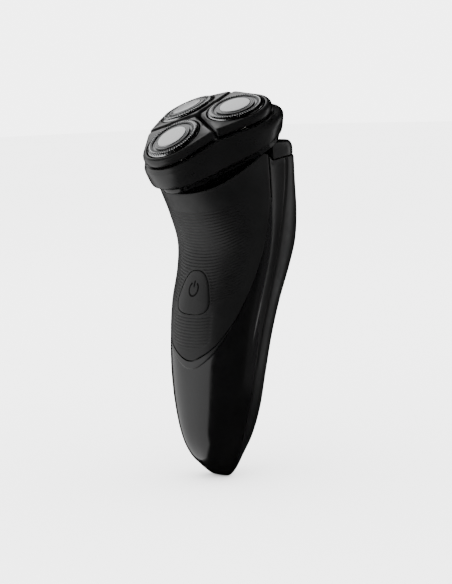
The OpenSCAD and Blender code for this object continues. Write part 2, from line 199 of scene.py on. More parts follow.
# ---------------------------------------------------------------- materials
def new_material(name):
    material = bpy.data.materials.new(name)
    material.use_nodes = True
    tree = material.node_tree
    return material, tree, tree.nodes["Principled BSDF"]


def noise(tree, scale, detail=3.0, coordinates=None, rough=0.55):
    if coordinates is None:
        coordinates = tree.nodes.new("ShaderNodeTexCoord").outputs["Object"]
    node = tree.nodes.new("ShaderNodeTexNoise")
    node.inputs["Scale"].default_value = scale
    node.inputs["Detail"].default_value = detail
    node.inputs["Roughness"].default_value = rough
    tree.links.new(coordinates, node.inputs["Vector"])
    return node.outputs["Fac"]


def ramp(tree, fac, low, high, start=0.3, end=0.7):
    """Two-stop ramp between values or colours."""
    node = tree.nodes.new("ShaderNodeValToRGB")
    for element, at, value in zip(node.color_ramp.elements, (start, end), (low, high)):
        element.position = at
        element.color = (*value, 1) if isinstance(value, (tuple, list)) else (value, value, value, 1)
    tree.links.new(fac, node.inputs["Fac"])
    return node.outputs["Color"]


def bump(tree, height, strength, distance, normal=None):
    node = tree.nodes.new("ShaderNodeBump")
    node.inputs["Strength"].default_value = strength
    node.inputs["Distance"].default_value = distance
    tree.links.new(height, node.inputs["Height"])
    if normal is not None:
        tree.links.new(normal, node.inputs["Normal"])
    return node.outputs["Normal"]


def plastic(name, low, high, rough, rough_spread, grain_scale, grain, coat=0.0, smudge=60.0, specular=0.5):
    """Moulded plastic: tone and gloss drift a little over the surface, over a fine moulding grain."""
    material, tree, shader = new_material(name)
    drift = noise(tree, smudge, 4.0)
    tree.links.new(ramp(tree, drift, low, high), shader.inputs["Base Color"])
    wear = noise(tree, smudge * 4, 5.0)
    tree.links.new(ramp(tree, wear, rough - rough_spread, rough + rough_spread), shader.inputs["Roughness"])
    fine = noise(tree, grain_scale, 2.0)
    tree.links.new(bump(tree, fine, grain, 0.00004), shader.inputs["Normal"])
    shader.inputs["Specular IOR Level"].default_value = specular
    shader.inputs["Coat Weight"].default_value = coat
    shader.inputs["Coat Roughness"].default_value = 0.08
    return material


def metal(name, low, high, rough, rough_spread, brush=0.0, brush_scale=900.0, rings=None, anisotropy=0.0):
    """Metal: brushed along circles about a head's axis when rings is given, else with a fine grain."""
    material, tree, shader = new_material(name)
    coordinates = tree.nodes.new("ShaderNodeTexCoord").outputs["Object"]
    if rings is not None:
        centre, rotation = rings
        mapping = tree.nodes.new("ShaderNodeMapping")
        mapping.vector_type = "TEXTURE"
        mapping.inputs["Location"].default_value = centre
        mapping.inputs["Rotation"].default_value = rotation
        tree.links.new(coordinates, mapping.inputs["Vector"])
        split = tree.nodes.new("ShaderNodeSeparateXYZ")
        tree.links.new(mapping.outputs["Vector"], split.inputs["Vector"])
        squares = []
        for axis in ("X", "Y"):
            square = tree.nodes.new("ShaderNodeMath")
            square.operation = "MULTIPLY"
            tree.links.new(split.outputs[axis], square.inputs[0])
            tree.links.new(split.outputs[axis], square.inputs[1])
            squares.append(square.outputs[0])
        total = tree.nodes.new("ShaderNodeMath")
        total.operation = "ADD"
        tree.links.new(squares[0], total.inputs[0])
        tree.links.new(squares[1], total.inputs[1])
        radius = tree.nodes.new("ShaderNodeMath")
        radius.operation = "SQRT"
        tree.links.new(total.outputs[0], radius.inputs[0])
        join = tree.nodes.new("ShaderNodeCombineXYZ")
        tree.links.new(radius.outputs[0], join.inputs["X"])
        coordinates = join.outputs["Vector"]
    tone = noise(tree, 220.0 if rings is None else brush_scale, 4.0, coordinates)
    tree.links.new(ramp(tree, tone, low, high, 0.25, 0.75), shader.inputs["Base Color"])
    gloss = ramp(tree, tone, rough - rough_spread, rough + rough_spread, 0.25, 0.75)
    tree.links.new(gloss, shader.inputs["Roughness"])
    if brush:
        fine = noise(tree, brush_scale * 2, 3.0, coordinates)
        tree.links.new(bump(tree, fine, brush, 0.00005), shader.inputs["Normal"])
    shader.inputs["Metallic"].default_value = 1.0
    shader.inputs["Anisotropic"].default_value = anisotropy
    return material


def head_rings(turn):
    """Place and tilt of a head, for brushing that runs round its axis."""
    centre = in_head(turn, np.array([0.0, 0, 0])) * MM
    axes = [in_head(turn, v) - in_head(turn, np.zeros(3)) for v in np.eye(3)]
    rotation = Matrix(np.stack(axes, 1).tolist()).to_euler("XYZ")
    return tuple(float(v) for v in centre), tuple(rotation)


GLOSS = plastic("gloss_black", (0.0009, 0.0009, 0.0010), (0.0013, 0.0013, 0.0014), 0.17, 0.04, 2600, 0.04)
SATIN = plastic("satin_black", (0.0019, 0.0019, 0.0020), (0.0026, 0.0026, 0.0027), 0.40, 0.05, 5200, 0.22)
GRIP = plastic("grip_black", (0.0018, 0.0018, 0.0019), (0.0027, 0.0027, 0.0028), 0.42, 0.05, 4200, 0.25,
               specular=0.28)
BUTTON = plastic("button_black", (0.0014, 0.0014, 0.0015), (0.0020, 0.0020, 0.0021), 0.36, 0.04, 5200, 0.2,
                 specular=0.28)
DARK = plastic("dark_plastic", (0.0022, 0.0022, 0.0024), (0.0036, 0.0036, 0.0038), 0.5, 0.07, 3800, 0.3)
INK = plastic("icon_black", (0.0003, 0.0003, 0.0003), (0.0005, 0.0005, 0.0005), 0.7, 0.05, 3000, 0.1,
              specular=0.08)
POD = plastic("pod_black", (0.0016, 0.0016, 0.0017), (0.0022, 0.0022, 0.0023), 0.31, 0.04, 4200, 0.12)
WHITE = plastic("white_plastic", (0.62, 0.61, 0.57), (0.72, 0.71, 0.67), 0.4, 0.07, 3000, 0.2)
BOARD = plastic("board_green", (0.01, 0.08, 0.025), (0.02, 0.13, 0.04), 0.35, 0.08, 1500, 0.3, smudge=400)
SLEEVE = plastic("cell_sleeve", (0.02, 0.09, 0.05), (0.03, 0.12, 0.07), 0.35, 0.08, 1500, 0.2)
BRASS = metal("contact_brass", (0.62, 0.42, 0.16), (0.78, 0.56, 0.25), 0.25, 0.08, 0.2)
MOTOR = metal("motor_steel", (0.38, 0.39, 0.40), (0.5, 0.51, 0.52), 0.35, 0.1, 0.2)
SHAFT = metal("shaft_steel", (0.5, 0.51, 0.52), (0.62, 0.63, 0.64), 0.22, 0.06, 0.15)
BLADE = metal("blade_steel", (0.36, 0.37, 0.38), (0.48, 0.49, 0.5), 0.25, 0.08, 0.2)

# ---------------------------------------------------------------- front cover
LIP_WIDTH = 3.0


def lip_width(angle):
    """The satin band under the grip panel is widest in front and runs out at the side."""
    return LIP_WIDTH * (1 - smooth((np.abs(angle) - 8) / 52))


def channel(angle, z):
    """Depth of the hollow between the grip panel and the seam."""
    t = (np.abs(angle) - GRIP_SIDE - 0.25) / (89.4 - GRIP_SIDE - 0.25)
    return 0.75 * np.sin(np.pi * np.clip(t, 0, 1)) ** 0.8 * smooth((z - 40) / 50)


def front_cover():
    side = np.array([79.25, 79.6, 80.2, 81, 82, 83.2, 84.5, 85.8, 87, 88, 88.6, 89.0, 89.25, 89.4])
    cols = np.concatenate([-side[::-1], np.linspace(-78.9, 78.9, 181), side])
    border, edge = border_z(cols), edge_z(cols)
    panel = np.abs(cols) < GRIP_SIDE + 0.1
    lip = lip_width(cols) * panel
    rows, depth, kind = [], [], []

    def row(z, d, k):
        rows.append(z)
        depth.append(d)
        kind.append(k)

    foot = border - lip - 0.45
    for t in np.concatenate([[0, 0.004, 0.012], np.linspace(0.025, 1, 90)]):
        z = foot * t
        start = 0.35 * smooth((0.9 - z) / 0.9)
        row(z, channel(cols, z) * ~panel + start + 0.32 * np.exp(-(foot - z) / 3.5) * smooth(lip / 1.2), 0)
    for up, inset in ((0.1, 0.30), (0.25, 0.16), (0.4, 0.06)):
        row(foot + up, channel(cols, foot + up) * ~panel + inset * smooth(lip / 1.2), 1)
    for t in np.linspace(0.08, 1, 8):
        z = border - lip + (lip - 0.16) * t
        row(z, channel(cols, z) * ~panel, 1)
    for down, inset in ((-0.08, 0.08), (-0.03, 0.3), (0.0, RECESS)):
        row(border + down, np.where(panel, inset, channel(cols, border)), 1 if inset < 0.2 else 0)
    for t in np.linspace(0.02, 1, 34):
        z = border + (edge - border) * t
        rim = 0.3 * smooth((0.02 - (edge - z) / 60) / 0.02)
        row(z, np.where(panel, RECESS, channel(cols, z) * smooth((edge - z) / 3) + rim), 0)
    z, d = np.stack(rows), np.stack(depth)
    d = d + 0.25 * smooth((np.abs(cols) - 88.9) / 0.5)
    outer = skin(cols[None], z, d)
    inner = skin(cols[None], z, np.maximum(d + 0.4, np.minimum(WALL, 0.5 + z * 0.4)))
    points, faces = shell(outer, inner)
    marks = np.zeros(len(faces), np.int32)
    strip = len(cols) - 1
    kinds = np.repeat(np.array(kind)[:-1] * np.array(kind)[1:], strip)
    on_lip = np.tile((lip[:-1] > 0.25) & panel[:-1] & panel[1:], len(kind) - 1)
    drift = GRIP_SIDE + 11 * (1 - smooth((z[:-1, :-1] - 34) / 58))
    strip_side = np.abs(cols[:-1])[None] > drift - 0.5
    marks[:len(kinds)] = (kinds * on_lip > 0) | strip_side.reshape(-1)
    piece("front_cover_skin", points, faces, "handle", ["front_cover"], [GLOSS, SATIN], marks)


# ---------------------------------------------------------------- ribbed grip panel
RIB_PITCH, RIB_DEPTH = 1.30, 0.22
BUTTON_HALF, BUTTON_WIDE, BUTTON_TAPER = 8.8, 8.4, 0.3


def shield(angle, grow):
    """Outline of the power button, wider below than above."""
    c, s = np.cos(angle), np.sin(angle)
    v = BUTTON_HALF * np.sign(s) * np.abs(s) ** 0.66
    x = (BUTTON_WIDE - BUTTON_TAPER * v + grow) * np.sign(c) * np.abs(c) ** 0.72
    return np.stack([x, v + grow * np.sign(s) * np.abs(s) ** 0.3], -1)


def shield_gap(x, v):
    """How far a point on the front lies outside the button's outline, in mm."""
    x, v = np.broadcast_arrays(x, v)
    gap = np.full(x.shape, 30.0)
    near = (np.abs(x) < 16) & (np.abs(v) < 14)
    p = np.stack([x[near], v[near]], -1)
    loop = shield(np.linspace(0, 2 * math.pi, 181), 0)
    best = np.full(len(p), 1e9)
    winding = np.zeros(len(p))
    for a, b in zip(loop[:-1], loop[1:]):
        side = b - a
        t = np.clip(((p - a) @ side) / (side @ side), 0, 1)
        best = np.minimum(best, np.hypot(*(p - a - t[:, None] * side).T))
        crosses = (a[1] > p[:, 1]) != (b[1] > p[:, 1])
        reach = a[0] + (p[:, 1] - a[1]) / (side[1] if side[1] else 1.0) * side[0]
        winding += crosses & (p[:, 0] < reach)
    gap[near] = np.where(winding % 2 == 1, -best, best)
    return gap


HOLE = 0.26


def rib_mask(angle, z, edge):
    a = np.abs(angle)
    collar = edge - 7.2 - 2.6 * np.clip(a / 58, 0, 1)
    top = smooth((collar - z) / 1.0)
    side = smooth((58 - a) / 10) * smooth((z - (70.3 + 0.145 * a)) / 1.2)
    front = smooth((27 - a) / 5) * smooth((z - (53.2 + 0.0055 * a**2 + 1.3)) / 1.6) * smooth((72 - z) / 3)
    return top * np.maximum(side, front)


def grip_panel():
    rim_cols = np.array([77.8, 78.2, 78.42, 78.5])
    cols = np.concatenate([-rim_cols[::-1], np.linspace(-77.2, 77.2, 201), rim_cols])
    low, edge = border_z(cols) + 0.3, edge_z(cols)
    t = np.concatenate([[0, 0.001, 0.0025, 0.005], np.linspace(0.008, 0.992, 520), [0.995, 0.9975, 0.999, 1]])
    z = low[None] + (edge - low)[None] * t[:, None]
    flat = skin(cols[None], z)
    tilt = 0.68 + 0.22 * smooth((z - 74) / 20) - 0.5 * smooth((z - 98) / 16)
    level = z - tilt * (flat[..., 1] - hermite(STATIONS, z, 2))
    wave = 0.5 - 0.5 * np.cos(2 * np.pi * level / RIB_PITCH)
    x, v = flat[..., 0], z - BUTTON_Z
    gap = np.where(flat[..., 1] < -1, shield_gap(x, v), 30.0)
    near = (gap > HOLE - 0.2) & (gap < HOLE + 0.2)
    step = 0.01
    slope_x = (shield_gap(x + step, v) - gap) / step
    slope_v = (shield_gap(x, v + step) - gap) / step
    size = np.maximum(slope_x**2 + slope_v**2, 0.5)
    x = x + np.where(near, (HOLE - gap) * slope_x / size, 0)
    v = v + np.where(near, (HOLE - gap) * slope_v / size, 0)
    gap = np.where(near, HOLE, gap)
    mask = rib_mask(cols[None], z, edge[None]) * smooth((gap - 0.7) / 0.8)
    rim = np.minimum(np.minimum(z - low[None], (edge[None] - z) * 0.8), (78.5 - np.abs(cols))[None] * 0.42)
    depth = RIB_DEPTH * mask * wave**1.6 + 0.3 * (1 - smooth((rim + 0.12) / 0.55))
    hole = gap < HOLE + 0.01
    outer = skin(cols[None], z, depth)
    inner = skin(cols[None], z, np.full_like(z, GRIP_THICK))
    for side, inset in ((outer, depth), (inner, GRIP_THICK)):
        moved = np.stack([x, face_y(x, BUTTON_Z + v) + inset, BUTTON_Z + v], -1)
        side[near] = moved[near]
    points, faces = shell(outer, inner)
    rows, width = z.shape
    cells = (hole[:-1, :-1] & hole[1:, :-1] & hole[1:, 1:] & hole[:-1, 1:]).reshape(-1)
    count = (rows - 1) * (width - 1)
    keep = np.ones(len(faces), bool)
    keep[:count] = ~cells
    keep[count:2 * count] = ~cells
    lip_faces = hole_walls(cells.reshape(rows - 1, width - 1), rows, width)
    faces = np.concatenate([faces[keep], lip_faces])
    piece("grip_panel_ribbed", points, faces, "handle", ["grip_panel"], [GRIP], sharp=50)


def hole_walls(removed, rows, cols):
    """Walls between the two sides of a shell round the cells that were removed."""
    index = np.arange(rows * cols).reshape(rows, cols)
    size = rows * cols
    walls = []
    for j, i in zip(*np.nonzero(removed[1:] != removed[:-1])):
        a, b = index[j + 1, i], index[j + 1, i + 1]
        walls.append([a, b, b + size, a + size])
    for j, i in zip(*np.nonzero(removed[:, 1:] != removed[:, :-1])):
        a, b = index[j, i + 1], index[j + 1, i + 1]
        walls.append([a, b, b + size, a + size])
    return np.array(walls)


# ---------------------------------------------------------------- rear housing
def rear_housing():
    first_cols = [89.75, 89.85, 90.1, 90.5, 91.1]
    last_cols = [268.9, 269.5, 269.9, 270.15, 270.25]
    cols = np.concatenate([first_cols, np.linspace(92, 268, 121), last_cols])
    edge = edge_z(cols)
    t = np.concatenate([[0, 0.003, 0.008], np.linspace(0.015, 0.985, 110), [0.992, 0.997, 1]])
    z = edge[None] * t[:, None]
    rim = np.minimum(np.minimum(cols - 89.75, 270.25 - cols)[None] * 0.42, (edge[None] - z) * 0.8)
    depth = 0.4 * (1 - smooth((rim + 0.05) / 0.6)) + 0.35 * smooth((0.9 - z) / 0.9)
    outer = skin(cols[None], z, depth)
    inner = skin(cols[None], z, np.maximum(depth + 0.4, np.minimum(WALL, 0.5 + z * 0.4)))
    points, faces = shell(outer, inner)
    piece("rear_housing_skin", points, faces, "handle", ["rear_housing"], [SATIN])


# ---------------------------------------------------------------- power button and its icon
def face_y(x, z):
    seam = hermite(STATIONS, z, 3)
    k = np.abs(x) / hermite(STATIONS, z, 1)
    return seam - (seam - hermite(STATIONS, z, 2)) * (1 - k**FRONT_POWER) ** (1 / FRONT_POWER)


def power_button():
    around = np.linspace(0, 2 * math.pi, 120, endpoint=False)
    outline = shield(around, 0)
    front = [(1.0, 0.5), (1.0, 0.2), (0.994, 0.08), (0.98, 0.0), (0.95, -0.05)]
    front += [(q, -0.06 - 0.30 * (1 - q * q)) for q in np.linspace(0.9, 0.06, 24)]
    back = [(q, 2.1) for q in np.linspace(0.06, 0.98, 10)] + [(1.0, 1.9)]

    def ring(q, push):
        x, v = outline[:, 0] * q, outline[:, 1] * q
        return np.stack([x, face_y(x, BUTTON_Z + v) + push, BUTTON_Z + v], -1)

    rings = [ring(q, push) for q, push in back + front]
    points, faces = loft(rings, closed=False, cap_start=True, cap_end=True)
    piece("power_button_cap", points, faces, "power_button", ["power_button"], [BUTTON])
    icon("power_icon_ring", [(a, 2.55) for a in np.radians(np.linspace(122, 418, 60))], 0.72)
    icon("power_icon_bar", [(math.radians(90), r) for r in np.linspace(0.7, 3.1, 9)], 0.72)


ICON_Z = 1.4
CROWN_X, CROWN_Z = 7.35, 9.0


def icon(name, path, width):
    """Raised line of the power sign on the button's face; path is (angle, radius) from its centre."""
    centres = np.array([[r * math.cos(a), r * math.sin(a) * 1.1 + ICON_Z] for a, r in path])
    along = np.gradient(centres, axis=0)
    along /= np.linalg.norm(along, axis=1)[:, None]
    across = np.stack([-along[:, 1], along[:, 0]], -1)
    section = [(-0.5, 0.12), (-0.5, -0.02), (-0.3, -0.07), (0.3, -0.07), (0.5, -0.02), (0.5, 0.12)]
    rings = []
    for c, n in zip(centres, across):
        p = np.array([c + n * width * u for u, _ in section])
        q2 = (p[:, 0] / CROWN_X) ** 2 + (p[:, 1] / CROWN_Z) ** 2
        y = face_y(p[:, 0], BUTTON_Z + p[:, 1]) - 0.06 - 0.30 * (1 - q2) + np.array([w for _, w in section])
        rings.append(np.stack([p[:, 0], y, BUTTON_Z + p[:, 1]], -1))
    points, faces = loft(rings, closed=False, cap_start=True, cap_end=True)
    piece(name, points, faces, "power_button", (), [INK])


# ---------------------------------------------------------------- release button
def release_button():
    a = np.linspace(0, math.pi, 40)

    def ring(wide, deep, z):
        arc = np.stack([-wide * np.cos(a), -25.6 - deep * np.sin(a) ** 0.8, np.full(len(a), z)], -1)
        back = np.array([[wide, -21.3, z], [-wide, -21.3, z]])
        return in_unit(np.concatenate([arc, back]))

    sections = [(6.2, 2.1, -19.2), (6.4, 2.6, -19.1), (6.5, 2.9, -18.85), (6.5, 3.0, -18.4),
                (6.5, 3.0, -17.6), (6.5, 2.9, -17.2), (6.4, 2.7, -16.9), (6.2, 2.4, -16.7)]
    points, faces = loft([ring(*s) for s in sections], closed=False, cap_start=True, cap_end=True)
    piece("release_lip", points, faces, "release_button", ["release_button"], [GLOSS])


# ---------------------------------------------------------------- shaving unit
def outline(q, r, stretch=1.0, step=2.0):
    """Rounded triangle: three arcs of radius r about centres at distance q, joined by their tangents."""
    points = []
    for a in (0, 120, 240):
        a = math.radians(a)
        for t in np.radians(np.arange(-60, 60.01, step)):
            points.append([q * math.sin(a) + r * math.sin(a + t), -q * math.cos(a) - r * math.cos(a + t)])
        b = a + math.radians(120)
        end = np.array(points[-1])
        c = b - math.pi / 3
        start = np.array([q * math.sin(b) + r * math.sin(c), -q * math.cos(b) - r * math.cos(c)])
        points += [list(end + (start - end) * k / 9) for k in range(1, 9)]
    p = np.array(points)
    scale = np.where(p[:, 1] > 0, 1 + (stretch - 1) * np.minimum(1, p[:, 1] / 14), 1)
    return p * scale[:, None]


def dome(p, under):
    """Height of the domed top a set distance under the heads."""
    u = np.max([p[:, 0] * math.sin(a) - p[:, 1] * math.cos(a) for a in np.radians([0, 120, 240])], axis=0)
    tilt = math.radians(HEAD_TILT)
    return (under - math.sin(tilt) * (u - HEAD_RING)) / math.cos(tilt)


def flat_ring(q, r, z, stretch=1.0):
    p = outline(q, r, stretch)
    return np.column_stack([p, np.full(len(p), z)])


def dome_ring(q, r, share, under, stretch=1.0):
    p = outline(q, r, stretch) * share
    return np.column_stack([p, dome(p, under)])


def unit_base():
    profile = [(12.4, 17.6, -15.6, 0.98), (12.5, 18.2, -15.5, 0.99), (12.58, 18.5, -15.25, 1.0),
               (12.6, 18.62, -14.9, 1.003),
               (12.66, 18.68, -14.2, 1.012), (12.72, 18.71, -13.2, 1.026), (12.8, 18.72, -12.0, 1.04),
               (12.9, 18.68, -10.8, 1.056), (13.0, 18.6, -9.6, 1.068), (13.08, 18.5, -8.9, 1.064),
               (13.12, 18.42, -8.5, 1.058)]
    rings = [dome_ring(13.8, 14.0, s, -6.6, 0.98) for s in (0.45, 0.75, 1)]
    rings += [flat_ring(13.0, 16.2, -9.6, 0.99), flat_ring(12.6, 16.4, -15.6, 0.98)]
    rings += [flat_ring(q, r, z, s) for q, r, z, s in profile]
    side = flat_ring(13.12, 18.42, -8.5, 1.058)
    for t in (0.15, 0.4, 0.7, 0.9, 1.0):
        low, high = flat_ring(13.2, 18.3, -8.2, 1.05), dome_ring(13.6, 17.0, 1, -5.0)
        rings.append(low + (high - low) * t if t > 0.2 else side + (low - side) * 0.9)
    rings += [dome_ring(13.6, 16.95, 1, -4.72), dome_ring(13.6, 16.8, 1, -4.6)]
    rings += [dome_ring(13.6, 16.8, s, -4.6) for s in (0.9, 0.75, 0.6, 0.45, 0.3)]
    rings = [in_unit(r) for r in rings]
    points, faces = loft(rings, closed=False, cap_start=True, cap_end=True)
    base = piece("unit_base_shell", points, faces, "shaving_unit", ["unit_base"], [POD])
    for name, turn in TURNS.items():
        cutter = bore(f"bore_{name}", turn, 12.9, -9, 3)
        cut = base.modifiers.new(f"bore_{name}", "BOOLEAN")
        cut.operation = "DIFFERENCE"
        cut.object = cutter
        cut.solver = "EXACT"
    bake(base)


def bore(name, turn, radius, low, high):
    points, faces = loft([in_head(turn, r) for r in spun([(radius, low), (radius, high)], 160)],
                         closed=False, cap_start=True, cap_end=True)
    mesh = bpy.data.meshes.new(name)
    mesh.from_pydata((points * MM).tolist(), [], [list(map(int, f)) for f in faces])
    bm = bmesh.new()
    bm.from_mesh(mesh)
    bmesh.ops.recalc_face_normals(bm, faces=bm.faces)
    bm.to_mesh(mesh)
    bm.free()
    obj = bpy.data.objects.new(name, mesh)
    bpy.context.scene.collection.objects.link(obj)
    return obj


def bake(obj):
    """Applies the boolean cuts and removes their cutters."""
    cutters = [m.object for m in obj.modifiers if m.type == "BOOLEAN"]
    evaluated = obj.evaluated_get(bpy.context.evaluated_depsgraph_get())
    mesh = bpy.data.meshes.new_from_object(evaluated)
    obj.modifiers.clear()
    obj.data = mesh
    mesh.set_sharp_from_angle(angle=math.radians(40))
    for cutter in cutters:
        bpy.data.objects.remove(cutter)


def pod_outline(count):
    """Distance from a head's axis to the edge of its pod: an arc outside, straight sides at the grooves."""
    r, m = 14.7, 0.5
    d = HEAD_RING / 2 + r
    sixty = math.sin(math.pi / 3)
    pu, pv, au = d / 2 + m * sixty, d * sixty - m / 2, m / sixty
    arc = [(HEAD_RING + r * math.cos(t), r * math.sin(t)) for t in np.radians(np.arange(-60, 60.01, 1))]
    loop = arc + [(pu + 0.2, pv), (pu - 0.6, pv - 0.9), (au + 0.6, 0.5), (au + 0.3, 0), (au + 0.6, -0.5),
                  (pu - 0.6, -pv + 0.9), (pu + 0.2, -pv)]
    loop = np.array([[v, HEAD_RING - u] for u, v in loop])
    angles = np.linspace(0, 2 * math.pi, count, endpoint=False)
    reach = np.zeros(count)
    for k, a in enumerate(angles):
        ray = np.array([math.sin(a), -math.cos(a)])
        p, q = loop, np.roll(loop, -1, 0)
        e = q - p
        cross = ray[0] * e[:, 1] - ray[1] * e[:, 0]
        safe = np.where(np.abs(cross) < 1e-12, 1e-12, cross)
        s = (p[:, 0] * e[:, 1] - p[:, 1] * e[:, 0]) / safe
        t = (p[:, 0] * ray[1] - p[:, 1] * ray[0]) / safe
        hit = (t >= -1e-9) & (t <= 1 + 1e-9) & (s > 0)
        reach[k] = s[hit].max()
    kernel = np.array([1, 2, 3, 2, 1]) / 9
    wide = np.concatenate([reach[-2:], reach, reach[:2]])
    return angles, np.convolve(wide, kernel, "valid")


def pod(name, turn):
    angles, reach = pod_outline(240)
    ray = np.stack([np.sin(angles), -np.cos(angles)], -1)
    inner = 12.3
    steps = [("in", 0, -3.4), ("in", 0, -1.2), ("in", 0, -0.62), ("in", 0.06, -0.42),
             ("in", 0.2, -0.3), ("in", 0.45, -0.28),
             ("in", 0.62, -0.34), ("out", 1.9, -0.36), ("out", 1.5, -0.42), ("out", 1.0, -0.58),
             ("out", 0.6, -0.85), ("out", 0.3, -1.25), ("out", 0.1, -1.75), ("out", 0.0, -2.3),
             ("out", 0.03, -3.0), ("out", 0.12, -3.32),
             ("out", 0.3, -3.46), ("out", 0.9, -3.5)]
    rings = []
    for side, off, z in steps:
        radius = np.full(len(angles), inner + off) if side == "in" else np.maximum(reach - off, inner + 0.75)
        rings.append(in_head(turn, np.column_stack([ray * radius[:, None], np.full(len(angles), z)])))
    points, faces = loft(rings)
    piece(f"pod_{name}_shell", points, faces, f"pod_{name}", [f"pod_{name}"], [POD])


SLOTS, SLOT_STEPS = 60, 8


def guard(name, turn, shaded_ring_steel, tooth_steel):
    """Steel guard: a ring with fine slots through its rim, stepped rings and a recess for the cap; the inner
    rings and slot walls take a darker steel as painted shade.
    """
    profile = [(11.8, -3.15), (11.8, -0.5), (11.78, -0.2), (11.72, -0.02), (11.6, 0.12), (11.4, 0.3),
               (11.15, 0.48), (10.9, 0.62), (10.6, 0.74), (10.3, 0.79), (10.15, 0.74), (10.0, 0.79),
               (9.7, 0.83), (9.5, 0.78),
               (9.4, 0.83), (9.25, 0.85), (9.1, 0.8), (9.02, 0.65), (8.98, 0.45), (8.8, 0.37), (8.2, 0.36),
               (4.0, 0.36), (1.0, 0.36)]
    thick = 0.25
    around = SLOTS * SLOT_STEPS
    top = np.stack(spun(profile, around))
    inside = [(max(0.9, r - (0.3 if z < 0.3 else 0.05)), z - (thick if z > -0.3 else 0)) for r, z in profile]
    low = np.stack(spun(inside, around))
    rows = len(profile)
    a = np.arange(around)
    open_cols = (a % SLOT_STEPS) < 4
    cells = np.zeros((rows - 1, around), bool)
    for j in range(rows - 1):
        middle = 0.5 * (profile[j][0] + profile[j + 1][0])
        if 9.0 < middle < 11.65 and profile[j][1] > -0.1 and not 9.95 < middle < 10.25:
            cells[j] = open_cols
    index = np.arange(rows * around).reshape(rows, around)
    grid = np.concatenate([index, index[:, :1]], 1)
    size = rows * around
    upper = quads(grid).reshape(rows - 1, around, 4)
    faces = [upper[~cells], upper[~cells][:, ::-1] + size]
    middle = np.array([0.5 * (p[0] + q[0]) for p, q in zip(profile[:-1], profile[1:])])
    teeth = np.broadcast_to((middle > 10.2)[:, None], cells.shape)[~cells].astype(np.int32)
    walls = []
    for j, i in zip(*np.nonzero(cells[1:] != cells[:-1])):
        p, q = grid[j + 1, i], grid[j + 1, i + 1]
        walls.append([p, q, q + size, p + size])
    for j, i in zip(*np.nonzero(cells != np.roll(cells, 1, 1))):
        p, q = grid[j, i], grid[j + 1, i]
        walls.append([p, q, q + size, p + size])
    for ring in (grid[0], grid[-1]):
        walls += [[ring[i], ring[i + 1], ring[i + 1] + size, ring[i] + size] for i in range(around)]
    faces = np.concatenate(faces + [np.array(walls)])
    # rim teeth take the bright steel; the inner rings and every slot wall take the darker steel, painted
    # shade
    marks = np.concatenate([teeth, teeth, np.zeros(len(walls), np.int32)])
    points = in_head(turn, np.concatenate([top.reshape(-1, 3), low.reshape(-1, 3)]))
    piece(f"guard_{name}_slotted", points, faces, f"head_{name}", [f"guard_{name}"],
          [shaded_ring_steel, tooth_steel], marks, sharp=30)


def cap(name, turn, face_steel, shaded_ring_steel):
    """Steel cap: a bright face inside a stepped ring of darker steel, which is painted shade for the recess
    round the cap.
    """
    profile = [(8.0, 0.52), (8.08, 0.62), (8.1, 0.74), (8.0, 0.84), (7.8, 0.89), (7.55, 0.9), (7.45, 0.84),
               (7.35, 0.84), (7.25, 0.91), (6.9, 0.94), (6.65, 0.92), (6.6, 0.8), (6.5, 0.8), (6.42, 1.0),
               (6.3, 1.09), (6.1, 1.13), (5.0, 1.16), (4.0, 1.19), (2.0, 1.22), (0.6, 1.23)]
    around = 144
    rings = [in_head(turn, r) for r in spun(profile, around)]
    points, faces = loft(rings, closed=False, cap_start=True, cap_end=True)
    middle = np.array([0.5 * (p[0] + q[0]) for p, q in zip(profile[:-1], profile[1:])])
    marks = np.zeros(len(faces), np.int32)
    # the stepped ring outside the face takes the darker steel, painted shade for the recess round the cap
    marks[:len(middle) * around] = np.repeat(middle > 6.45, around)
    piece(f"cap_{name}_brushed", points, faces, f"head_{name}", [f"cap_{name}"],
          [face_steel, shaded_ring_steel], marks, sharp=35)


# ---------------------------------------------------------------- rear shoulder and socket
def rear_shoulder():
    cols = np.linspace(82, 278, 140)

    def row(z, depth, slope):
        p = skin(cols, np.full_like(cols, z), depth)
        p[:, 2] = np.minimum(z + slope * p[:, 1], 132.3 + 0.5317 * p[:, 1])
        return p

    stages = [(130.55, 1.0, 0.15), (130.6, 0.6, 0.15), (130.8, 0.42, 0.145)]
    stages += [(z, 0.4, np.interp(z, [130.8, 135.2], [0.145, 0.06])) for z in np.linspace(131.2, 135.2, 7)]
    stages += [(z, 0.4 + 0.6 * ((z - 135.2) / 3.6) ** 2, np.interp(z, [135.2, 138.8], [0.06, 0]))
               for z in np.linspace(135.7, 138.8, 8)]
    stages += [(139.2, 1.25, 0), (139.5, 1.6, 0), (139.75, 2.0, 0), (139.9, 2.6, 0)]
    outer = np.stack([row(*s) for s in stages])
    inner = np.stack([row(s[0], 6.5, s[2]) for s in stages])
    points, faces = shell(outer, inner)
    piece("rear_shoulder_band", points, faces, "handle", ["rear_shoulder"], [POD])


def rounded_box(half_x, half_y, power, count, z):
    a = np.linspace(0, 2 * math.pi, count, endpoint=False)
    c, s = np.sin(a), -np.cos(a)
    return np.stack([half_x * np.sign(c) * np.abs(c) ** power, half_y * np.sign(s) * np.abs(s) ** power,
                     np.full(count, z)], -1)


def socket_insert():
    count, rings = 120, []
    angle = np.degrees(np.linspace(0, 2 * math.pi, count, endpoint=False))
    for z, inset in ((8.0, 3.6), (3.0, 1.55), (1.0, 0.95), (0.3, 0.8), (0.12, 0.9)):
        rings.append(skin(angle, np.full(count, z), inset))
    for z, grow in ((0.05, 0.35), (0.05, 0.15), (0.2, 0.0), (3.0, 0.0), (6.6, 0.0), (7.0, -0.3)):
        rings.append(rounded_box(min(3.8 + grow, 4.4), min(2.2 + grow * 0.6, 2.3), 0.35, count, z))
    points, faces = loft(rings, closed=False, cap_start=True, cap_end=True)
    piece("socket_insert_moulded", points, faces, "handle", ["socket_insert"], [DARK])


